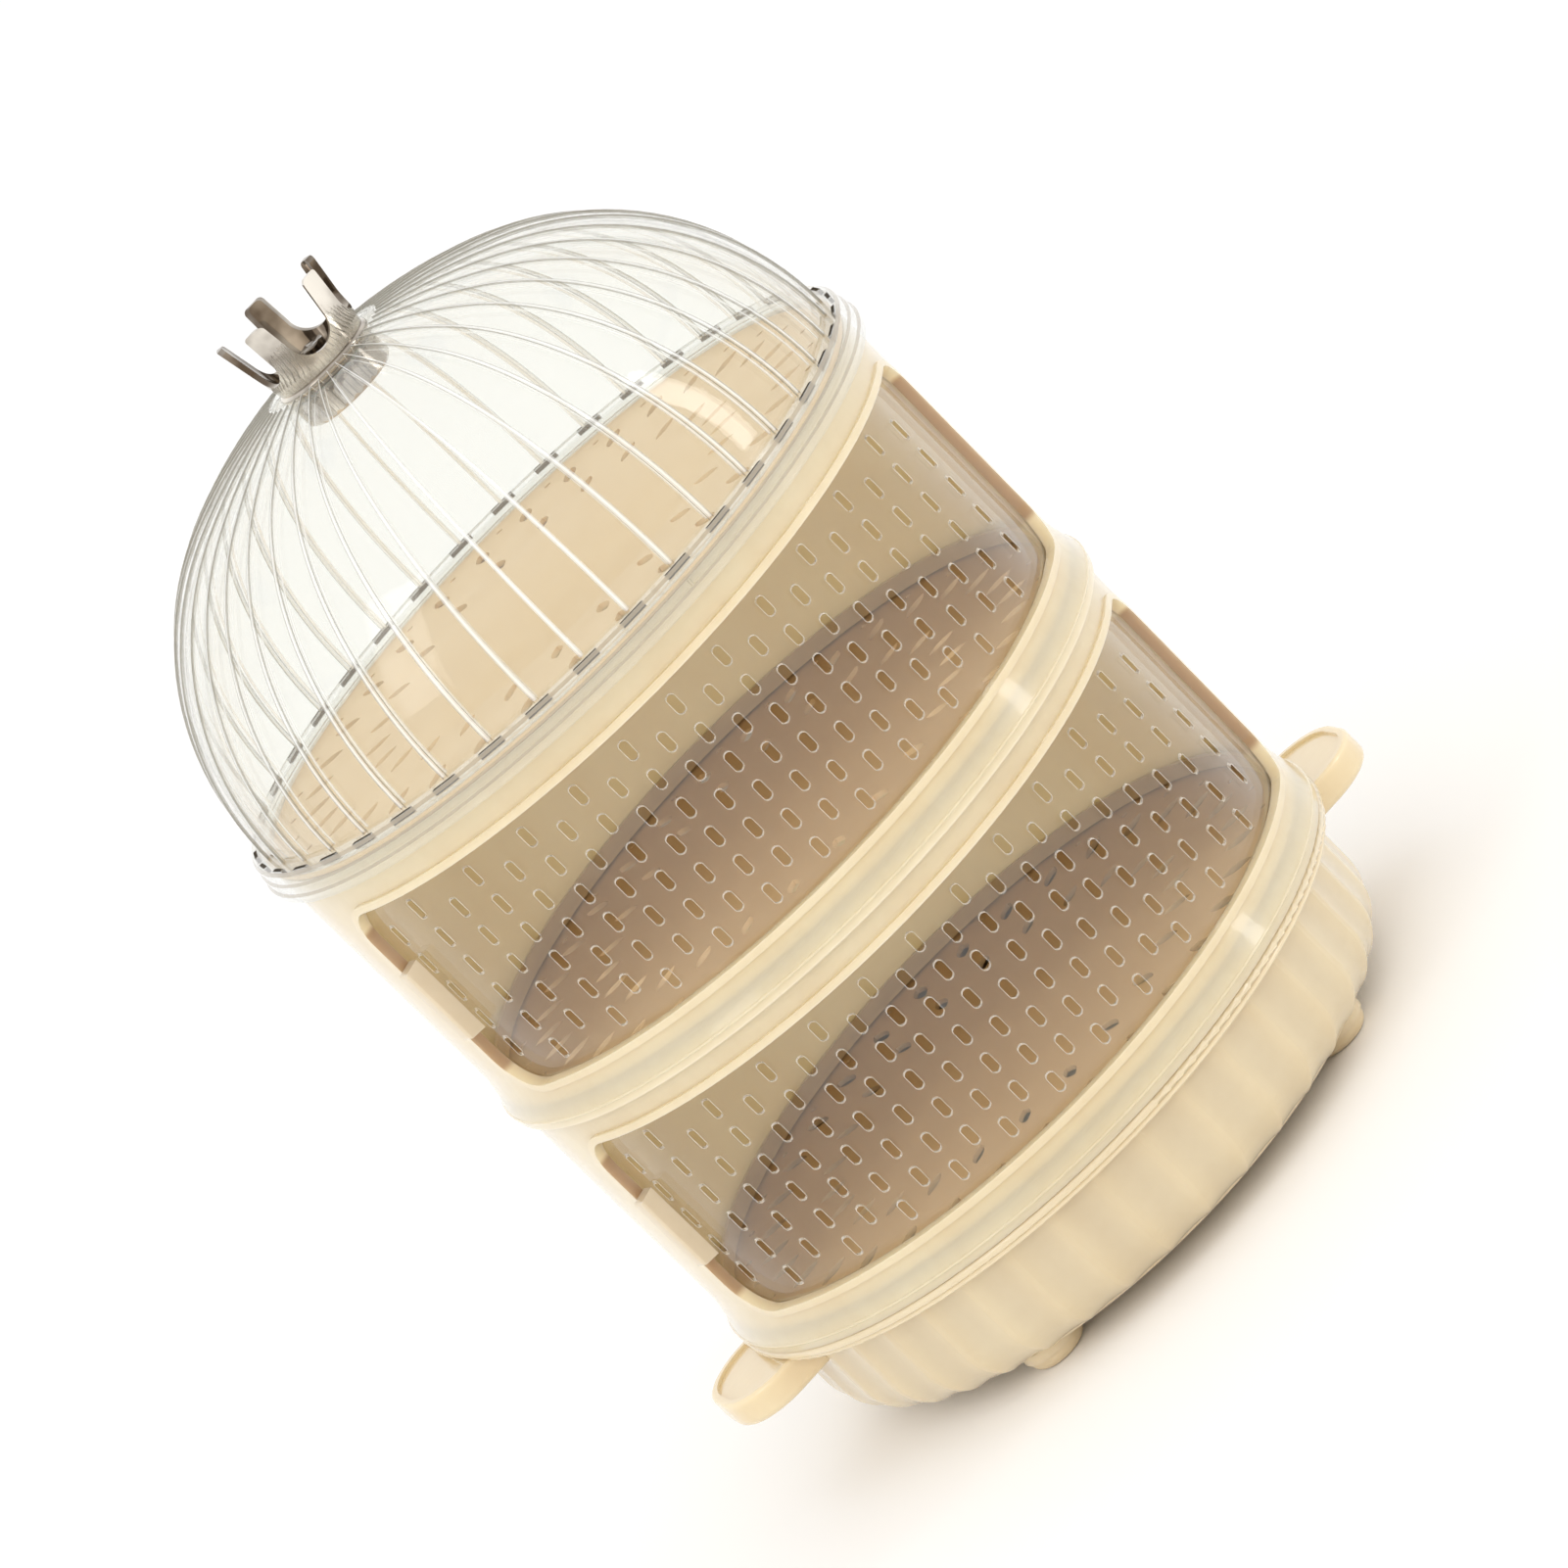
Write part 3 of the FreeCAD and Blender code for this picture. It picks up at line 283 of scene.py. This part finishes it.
def cream_plastic(name, light, dark, gloss, peel=0.05, coat=0.45, soak=0.2, rims=(), painted_jamb_shade=None):
    """Glossy resin: drift and mottle in the colour, orange peel, sink marks, and rims that are
    polished and painted lighter as a highlight.

    The painted jamb shade goes on upright faces that don't look in or out, the jambs of a window,
    as the shade that falls in them.
    Soak is how much of the light that meets a wall spreads inside it and leaves elsewhere.
    """
    paint = Paint(name, IOR=1.5, Coat_Roughness=0.05, Subsurface_Weight=soak,
                  Subsurface_Scale=SOAK_DEPTH, Subsurface_Radius=SOAK_COLOURS)
    drift = paint.noise(DRIFT_SCALE, 3.0)
    mottle = paint.noise(MOTTLE_SCALE)
    streaks = paint.noise(STREAK_SCALE, 3.0, paint.up_the_stack(STREAK_STRETCH))
    tint = (drift * 0.5 + mottle * 0.15 + streaks * 0.35).band(0.32, 0.68)
    colour = paint.blend(tint, dark, light)
    roughness = drift * 0.05 + mottle * 0.05 + gloss
    if rims:
        # Painted highlight: the rims are painted a lighter colour, as well as made glossier.
        rim_polish_and_painted_highlight = rim_polish_and_highlight(paint, rims) * (drift * 0.5 + 0.5)
        colour = paint.blend(rim_polish_and_painted_highlight * 0.55, colour, shade(light, 1.13))
        roughness = roughness - rim_polish_and_painted_highlight * gloss * 0.35
    if painted_jamb_shade is not None:
        # Painted shade: the jambs of a window are coloured dark brown as the shade in them.
        outward, upward = paint.upright_facing()
        jamb_shade_mask = 1.0 - outward.larger(upward).band(0.3, 0.5)
        colour = paint.blend(jamb_shade_mask, colour, painted_jamb_shade)
    paint.set("Base Color", colour)
    paint.set("Roughness", roughness)
    paint.set("Coat Weight", streaks * 0.15 + coat)
    sunken = paint.bump(paint.noise(SINK_SCALE, 1.0), 0.25, 0.004)
    paint.set("Normal", paint.bump(paint.noise(PEEL_SCALE), peel, 0.0004, sunken))
    return paint.material


# %% [markdown]
# ## The cream pieces
# One resin, but each piece gets a little of its own: the tiers stand in the light on both sides
# and glow the most, the trays are nearly matt, the feet are duller, and the grips are milkier.

# %% Cream finishes
RESIN_LIGHT = (0.77, 0.63, 0.41)
RESIN_DARK = (0.72, 0.57, 0.36)
# painted shade for the jambs of a window
JAMB_SHADE_BROWN = (0.38, 0.25, 0.14)
RING_BEAD_DROP = 0.009           # from the top of the seat ring down to its bead
shell_feet = [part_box(name)[0][2] for name in ("lower_tier_shell", "upper_tier_shell")]
base_rims = (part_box("base_bowl")[1][2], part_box("seat_ring")[1][2] - RING_BEAD_DROP)
cream_tier = cream_plastic("cream_resin_tier", RESIN_LIGHT, RESIN_DARK, 0.13, soak=0.65,
                           rims=shell_feet, painted_jamb_shade=JAMB_SHADE_BROWN)
cream_base = cream_plastic("cream_resin_base", RESIN_LIGHT, RESIN_DARK, 0.17, peel=0.07, soak=0.4,
                           rims=base_rims)
cream_tray = cream_plastic("cream_resin_tray", (0.78, 0.59, 0.35), (0.72, 0.53, 0.30), 0.55,
                           peel=0.09, coat=0.0, soak=0.0)
cream_rail = cream_plastic("cream_resin_rail", shade(RESIN_LIGHT, 0.94), shade(RESIN_DARK, 0.91),
                           0.3, peel=0.09)
soft_foot = cream_plastic("cream_soft_foot", shade(RESIN_LIGHT, 0.93), shade(RESIN_DARK, 0.88),
                          0.42, peel=0.16, coat=0.05)
milky_grip = cream_plastic("milky_grip", (0.72, 0.61, 0.45), (0.63, 0.52, 0.36), 0.16)
print("cream finishes ready, rims at", [round(rim, 4) for rim in (*shell_feet, *base_rims)], "m")

# %% [markdown]
# ## Clear plastic
# The dome and doors are clear plastic about 2 mm thick. A refracting shader is the physical way,
# but it darkens everything behind it and needs many bounces, so a clear sheet this thin is better
# drawn as three layers. Most light goes straight through a Transparent shader. A mirror takes
# over as the sheet turns edge on: its share grows with the fifth power of how far the face is
# turned away. That law holds on both faces, where a Fresnel node would turn the inner face into a
# full mirror. A milky layer stands for the light that runs inside the sheet and leaves at its cut
# edges, ribs and flange, which is why they look white.
# Edge on, and on the dome's cut faces, the milky layer is painted grey as the shade that refraction
# gives.

# %% Layers of clear plastic
FACE_ON_MIRROR = 0.035           # share of the light that clear plastic mirrors when seen face on
RIPPLE_SCALE = 11.0              # slow waves in the sheet
SCUFF_SCALE = 240.0              # fine handling marks
CUT_BAND = (0.35, 0.75)          # faces that look out less squarely than this are cut edges
MILK_WHITE = (0.93, 0.93, 0.91)


def start_clear(name):
    """The mirror layer of a clear sheet, with a faint ripple, and the relief that makes it."""
    paint = Paint(name, Base_Color=(1.0, 1.0, 1.0), Metallic=1.0)
    scuffs = paint.noise(SCUFF_SCALE)
    relief = paint.bump(paint.noise(RIPPLE_SCALE) * 0.9 + scuffs * 0.1, 0.12, 0.0015)
    paint.set("Roughness", scuffs * 0.03 + 0.015)
    paint.set("Normal", relief)
    return paint, relief


def milk_layer(paint, colour, relief):
    """The milky layer, as glossy as the sheet it stands in."""
    inputs = {"Base Color": colour, "Roughness": 0.18, "Coat Weight": 0.5,
              "Coat Roughness": 0.05, "Normal": relief}
    return paint.make("ShaderNodeBsdfPrincipled", None, inputs).out()


def layered(paint, relief, tint, haze, milk, milk_colour, grey, crest=0.0):
    """Mix the layers. Edge on, the milk thickens and takes the grey colour, a painted shade on the
    dome, except on the crest of a rib.
    """
    tilt = paint.make("ShaderNodeLayerWeight", None, {"Blend": 0.5}).out("Facing")
    through = paint.make("ShaderNodeBsdfTransparent", None, {"Color": tint}).out()
    mirror = Flow(paint, paint.shader.outputs[0])
    share = tilt.power(5.0) * (1.0 - FACE_ON_MIRROR) + FACE_ON_MIRROR
    sheet = paint.mixed(share, through, mirror)
    edge_on = (tilt.power(3.0) * 0.6).clamped() * (1.0 - crest)
    cloud = paint.mixed(edge_on, milk_layer(paint, milk_colour, relief),
                        milk_layer(paint, grey, relief))
    thickness = (milk + tilt.power(3.0) * haze * 5.0).clamped()
    return paint.finish(paint.mixed(thickness, sheet, cloud))


print("a clear sheet mirrors", FACE_ON_MIRROR, "of the light face on and all of it edge on")

# %% [markdown]
# ## Clear doors
# Light leaves a door at its ends and round its slots. The ends are faces that don't look in or out
# from the axis. A slot's rim is only a sharp edge, so a Bevel node finds it: near an edge, its
# rounded direction leans away from the face's true one.

# %% Door plastic
EDGE_ROUND = 0.0007              # how far from a sharp edge the milk reaches


def door_plastic(name, tint, haze, cut_colour):
    """Clear sheet with milky ends and slot rims."""
    paint, relief = start_clear(name)
    outward, _ = paint.upright_facing()
    cut = 1.0 - outward.band(*CUT_BAND)
    rounded = paint.make("ShaderNodeBevel", {"samples": 4}, {"Radius": EDGE_ROUND}).out()
    true = paint.make("ShaderNodeNewGeometry").out("Normal")
    rim = (1.0 - paint.dot(rounded, true)).band(0.02, 0.2)
    milk = cut * 0.8 + haze + rim * 0.45
    milk_colour = paint.blend(cut, MILK_WHITE, cut_colour)
    return layered(paint, relief, tint, haze, milk, milk_colour, cut_colour)


clear_door = door_plastic("clear_door", (0.99, 0.98, 0.96), 0.008, (0.95, 0.94, 0.91))
print("door finish ready, rims", EDGE_ROUND * 1000.0, "mm wide")

# %% [markdown]
# ## Clear dome
# The dome's ribs are evenly spaced round the axis, so the angle round it, counted in ribs, tells
# how far a point is from the nearest one. Below the ledge, the steps of the flange get painted tan
# lines of shade, and the walls of the vents, which lie on one circle, are painted dark brown as the
# shade of the gap one sees behind them.

# %% Dome plastic
RIB_COUNT = 40
RIB_DEGREES = 0.7                # width of a rib, seen from the axis
LEDGE_RISE = 0.0072              # from the top of the upper tier to the ledge round the dome's foot
VENT_RISE = 0.0014               # how far the circle of vents stands outside the top tray
VENT_HALF_WIDTH = 0.001
VENT_DEPTH = 0.004               # how far below the ledge the vent walls are painted in shade, for the gap one sees through a vent
BLUR = 0.001                     # height over which one finish turns into the next
# Painted shade: the grey of the dome's cut faces and of the sheet seen edge on.
EDGE_SHADE_GREY = (0.33, 0.32, 0.28)
# painted shade: tan lines on the flange steps, and dark brown in the vents
STEP_SHADE_TAN = (0.40, 0.33, 0.23)
VENT_SHADE_BROWN = (0.10, 0.08, 0.06)
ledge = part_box("upper_tier_shell")[1][2] + LEDGE_RISE
vent_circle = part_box("top_tray")[1][0] + VENT_RISE


def from_nearest_rib(x, y):
    """How far round a point is from the nearest rib, where 1 is the step between two ribs."""
    turn = y.angle_with(x) * (RIB_COUNT / (2.0 * math.pi))
    return ((turn + 0.5).fraction() - 0.5).size()


def dome_plastic(name, tint, haze):
    """Clear sheet with white ribs, painted tan lines of shade on its flange steps and vents painted
    dark brown as shade.
    """
    paint, relief = start_clear(name)
    x, y, z = paint.parts(paint.place())
    outward, upward = paint.upright_facing()
    square = outward.larger(upward)
    cut = 1.0 - square.band(*CUT_BAND)
    above = z.band(ledge, ledge + BLUR)
    half_rib = RIB_DEGREES / 2.0 * RIB_COUNT / 360.0
    away = from_nearest_rib(x, y)
    rib = (1.0 - away.band(half_rib * 0.9, half_rib * 1.3)) * above
    crest = (1.0 - away.band(half_rib * 0.35, half_rib * 0.6)) * above
    # Painted shade: the steps of the flange get tan lines.
    steps = (1.0 - square).band(0.12, 0.2) * (1.0 - above)
    # Painted shade: the walls of the vents, on one circle, go dark brown for the gap behind them.
    from_circle = ((x * x + y * y).power(0.5) - vent_circle).size()
    in_circle = 1.0 - from_circle.band(VENT_HALF_WIDTH * 0.9, VENT_HALF_WIDTH * 1.1)
    vent_foot = ledge - VENT_DEPTH
    vent = in_circle * (1.0 - upward.band(0.4, 0.6)) * z.band(vent_foot, vent_foot + BLUR)
    milk = cut * 0.5 + haze + rib * 0.3 + crest * 0.3 + (1.0 - above) * 0.05 + steps * 0.6 + vent
    # Painted shade: cut faces go grey, except on the crest of a rib.
    milk_colour = paint.blend(cut * (1.0 - crest), MILK_WHITE, EDGE_SHADE_GREY)
    milk_colour = paint.blend(steps * 0.9, milk_colour, STEP_SHADE_TAN)
    milk_colour = paint.blend(vent, milk_colour, VENT_SHADE_BROWN)
    return layered(paint, relief, tint, haze, milk, milk_colour, EDGE_SHADE_GREY, crest)


clear_dome = dome_plastic("clear_dome", (0.98, 0.985, 0.975), 0.025)
print("dome finish ready, ledge at", round(ledge, 4), "m, vents at", round(vent_circle, 4), "m")

# %% [markdown]
# ## Plated crown
# The crown and the collar below it are plated: a mirror that is slightly warm, softly rippled by
# the moulding under it, with hairline wear that only shows in the highlights. Dark patches are
# painted into its colour as reflections, and the faces inside its cup are painted darker as shade.

# %% Metal finishes
PLATE_RIPPLE_SCALE = 55.0
REFLECTION_PATCH_SCALE = 26.0
HAIRLINE_SCALE = 900.0
HAIRLINE_STRETCH = 0.06


def plated(name, bright, painted_dark, gloss):
    """A mirror with slow ripples, hairlines that roughen it, and dark patches painted in its colour
    as reflections.

    Faces that look in towards the axis are painted darker, as the shade inside a cup.
    """
    paint = Paint(name, Metallic=1.0)
    ripple = paint.noise(PLATE_RIPPLE_SCALE)
    roughness_and_reflection_noise = paint.noise(REFLECTION_PATCH_SCALE, 4.0)
    hairlines = paint.noise(HAIRLINE_SCALE, 2.0, paint.up_the_stack(HAIRLINE_STRETCH))
    x, y, _ = paint.parts(paint.place())
    face_x, face_y, _ = paint.parts(paint.facing())
    outside = (x * face_x + y * face_y).band(-0.004, 0.006)
    # Painted reflection: dark patches; painted shade: faces that look in towards the axis.
    reflection_patches = (roughness_and_reflection_noise * 0.7 + ripple * 0.3).band(0.42, 0.58)
    paint.set("Base Color", paint.blend(reflection_patches * 0.7 + outside * 0.3, painted_dark, bright))
    paint.set("Roughness", hairlines.band(0.56, 0.7) * 0.08 + roughness_and_reflection_noise * 0.06 + gloss)
    paint.set("Normal", paint.bump(ripple, 0.18, 0.0012))
    return paint.material


chrome = plated("warm_chrome", (0.82, 0.77, 0.69), (0.13, 0.10, 0.075), 0.02)
zinc = plated("zinc_screw", (0.62, 0.63, 0.64), (0.48, 0.48, 0.49), 0.2)
print("metal finishes ready:", chrome.name, "and", zinc.name)

# %% [markdown]
# ## Silicone washer
# A soft washer keeps the crown from cracking the dome. Silicone is milky, so light soaks into it,
# and it always looks a little dusty because dust clings to it.

# %% Silicone
DUST_SCALE = 300.0


def silicone(name):
    """Soft milky rubber with a matt, slightly dusty skin."""
    paint = Paint(name, IOR=1.42, Subsurface_Weight=0.4, Subsurface_Scale=0.003)
    dust = paint.noise(DUST_SCALE, 3.0)
    paint.set("Base Color", paint.blend(dust, (0.72, 0.72, 0.70), (0.82, 0.82, 0.80)))
    paint.set("Roughness", dust * 0.2 + 0.45)
    paint.set("Normal", paint.bump(dust, 0.15, 0.0003))
    return paint.material


washer_rubber = silicone("milky_silicone")
print("rubber finish ready:", washer_rubber.name)

# %% [markdown]
# ## Giving out the finishes
# The CAD record says what each piece is made of, so most pieces find their finish by that. The
# doors and the base are named one by one, because they need a version of their own.

# %% Give each node its finish
FINISH = {"cream_plastic": cream_tier, "tray_plastic": cream_tray, "rail_plastic": cream_rail,
          "grip_plastic": milky_grip, "clear_plastic": clear_dome, "chrome": chrome,
          "steel": zinc, "silicone": washer_rubber, "foot_pad": soft_foot}
OWN_FINISH = {"base_bowl": cream_base, "seat_ring": cream_base,
              "lower_door": clear_door, "upper_door": clear_door}
SLOT_OF = {entry["node"]: entry["material_slot"] for entry in frame["record"]["subparts"]}
for node_name, node in frame["nodes"].items():
    node.data.materials.clear()
    node.data.materials.append(OWN_FINISH.get(node_name) or FINISH[SLOT_OF[node_name]])
print("finished", len(SLOT_OF), "nodes")

# %% [markdown]
# ## Floor
# A plain pale floor, barely mottled, so that it reads as a sheet of matt board and not as a void.

# %% Floor
FLOOR_HALF_SIZE = 14.0
FLOOR_GRAIN_SCALE = 3.0


def make_floor(half_size):
    """A flat square at the height of the feet."""
    corners = [(-half_size, -half_size, 0.0), (half_size, -half_size, 0.0),
               (half_size, half_size, 0.0), (-half_size, half_size, 0.0)]
    mesh = bpy.data.meshes.new("studio_floor")
    mesh.from_pydata(corners, [], [(0, 1, 2, 3)])
    floor = bpy.data.objects.new("studio_floor", mesh)
    bpy.context.collection.objects.link(floor)
    paint = Paint("pale_floor", IOR=1.3)
    grain = paint.noise(FLOOR_GRAIN_SCALE, 3.0)
    paint.set("Base Color", paint.blend(grain, (0.93, 0.93, 0.93), (0.96, 0.96, 0.96)))
    paint.set("Roughness", grain * 0.1 + 0.6)
    mesh.materials.append(paint.material)
    return floor


floor = make_floor(FLOOR_HALF_SIZE)
print("floor ready,", floor.dimensions.x, "m wide")

# %% [markdown]
# ## Lamps
# Most of the light comes from the room. Three broad soft lamps add to it: a tall one on the left
# rounds the stack, a narrow one on the right draws an upright highlight down the gloss, and a wide
# one in front, the strongest, reaches the shelves. The last is hidden from mirrors, because a
# clear dome would show it as a square patch of glare.

# %% Lamps
NEAR_WHITE = (1.0, 0.99, 0.975)
WARM_WHITE = (1.0, 0.985, 0.965)
middle = Vector((0.0, 0.0, tall * 0.5))


def soft_lamp(name, place, size, power, colour):
    """A rectangular area lamp at a place, turned to face the middle of the stack."""
    data = bpy.data.lights.new(name, "AREA")
    data.shape = "RECTANGLE"
    data.size, data.size_y = size
    data.energy = power
    data.color = colour
    lamp = bpy.data.objects.new(name, data)
    bpy.context.collection.objects.link(lamp)
    lamp.location = place
    lamp.rotation_euler = (middle - Vector(place)).to_track_quat("-Z", "Y").to_euler()
    return lamp


key_lamp = soft_lamp("key_lamp", (-1.8, -1.3, 1.6), (0.8, 1.8), 6.0, NEAR_WHITE)
right_lamp = soft_lamp("right_lamp", (1.9, -0.8, 0.8), (0.25, 1.6), 5.0, NEAR_WHITE)
front_lamp = soft_lamp("front_lamp", (-0.4, -3.4, 1.5), (2.6, 1.6), 20.0, WARM_WHITE)
front_lamp.visible_glossy = False
print("lamps, in watts:", [lamp.data.energy for lamp in (key_lamp, right_lamp, front_lamp)])

# %% [markdown]
# ## Room
# A bright white room, as in a product studio, that is darker and warmer low down in front of the
# object, as if someone stood there. Chrome and clear plastic need something to reflect.

# %% Room
ROOM_LOW_FRONT = (0.78, 0.67, 0.54)
ROOM_WHITE = (1.0, 0.995, 0.985)
ROOM_STRENGTH = 1.1


def make_room(strength):
    """White above and behind, warm and dim low down in front: a smooth step on the direction."""
    world = bpy.data.worlds.new("pale_room")
    world.use_nodes = True
    room = Network(world.node_tree)
    direction = room.make("ShaderNodeTexCoord").out("Generated")
    up_and_back = (0.0, 0.62, 0.78)
    step = room.dot(direction, up_and_back).band(-0.55, -0.05)
    background = world.node_tree.nodes["Background"]
    room.join(background.inputs["Color"], room.blend(step, ROOM_LOW_FRONT, ROOM_WHITE))
    room.join(background.inputs["Strength"], strength)
    bpy.context.scene.world = world
    return world


room_world = make_room(ROOM_STRENGTH)
bpy.context.scene.view_settings.view_transform = "Standard"
print("room ready:", room_world.name)

# %% [markdown]
# ## Camera
# A long lens from a little above, looking almost straight at the doors, and rolled so that the
# stack leans across the frame from the lower right to the upper left.

# %% Camera
DISTANCE = 2.718                 # from the axis to the lens, measured along the floor
HEIGHT = 0.9148                  # of the lens above the floor
AZIMUTH = math.radians(-5.2)     # round the stack, from straight in front
TURN = math.radians(0.19)        # the aim passes just right of the axis
TILT = math.radians(-14.68)
ROLL = math.radians(-45.135)
LENS = 173.9                     # in mm
SENSOR_WIDTH = 36.0              # in mm


def camera_axes():
    """The camera's right, up and forward directions, from its turn, tilt and roll."""
    heading = AZIMUTH - TURN
    level_part = math.cos(TILT)
    forward = Vector((-math.sin(heading) * level_part, math.cos(heading) * level_part,
                      math.sin(TILT)))
    level = forward.cross(Vector((0, 0, 1))).normalized()
    upright = level.cross(forward)
    right = level * math.cos(ROLL) + upright * math.sin(ROLL)
    return right, right.cross(forward), forward


def make_camera():
    right, up, forward = camera_axes()
    data = bpy.data.cameras.new("camera")
    data.lens = LENS
    data.sensor_width = SENSOR_WIDTH
    data.clip_end = 60.0
    camera = bpy.data.objects.new("camera", data)
    bpy.context.collection.objects.link(camera)
    where = Vector((math.sin(AZIMUTH) * DISTANCE, -math.cos(AZIMUTH) * DISTANCE, HEIGHT))
    camera.matrix_world = Matrix((
        (right.x, up.x, -forward.x, where.x),
        (right.y, up.y, -forward.y, where.y),
        (right.z, up.z, -forward.z, where.z),
        (0.0, 0.0, 0.0, 1.0)))
    bpy.context.scene.camera = camera
    return camera


camera = make_camera()
print("camera at", [round(part, 3) for part in camera.matrix_world.translation], "m")

# %% [markdown]
# ## Sizes
# Nothing above changes the object's size. Its box after loading is kept as first_low and
# first_high.
